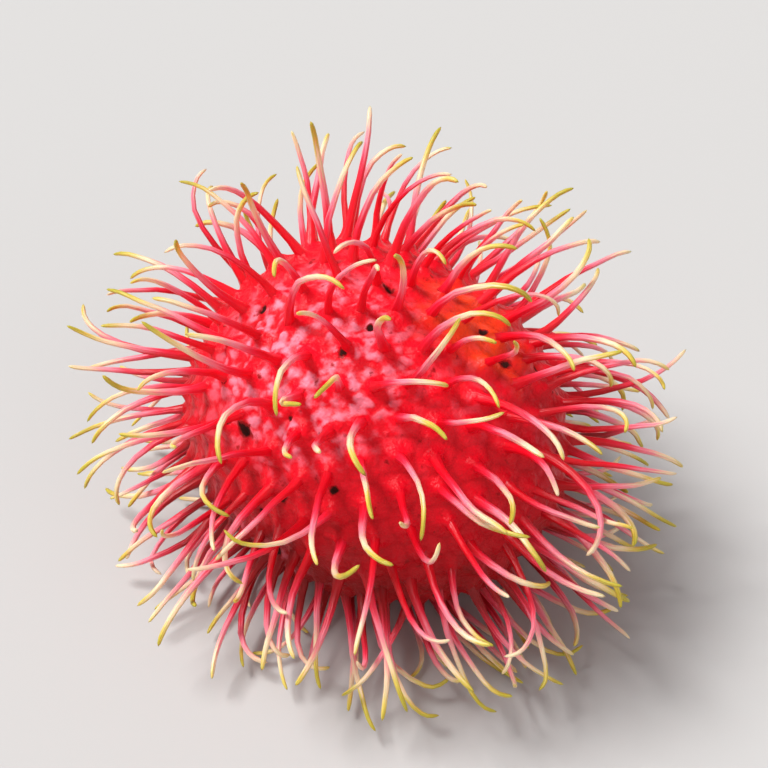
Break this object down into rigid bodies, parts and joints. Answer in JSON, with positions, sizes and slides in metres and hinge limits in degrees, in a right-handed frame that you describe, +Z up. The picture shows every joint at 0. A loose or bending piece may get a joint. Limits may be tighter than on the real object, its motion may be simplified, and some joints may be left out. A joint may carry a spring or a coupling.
{
  "type": "rambutan",
  "caption": "Ripe rambutan lying on its side: ovoid crimson rind all over soft curved spines with pale hooked tips, and a corky stalk scar at one end.",
  "frame": {"origin": "on the surface that the fruit lies on, under the middle of its overall box, spine tips included", "axes": "+Z up; +X along the stalk axis, towards the stalk end; +Y across"},
  "size_m": [0.068, 0.065, 0.049],
  "materials": {
    "rind": "satin",
    "stalk_cork": "matte"
  },
  "bodies": {
    "root": {"fruit": "rind", "stalk_scar": "stalk_cork"}
  },
  "joints": []
}
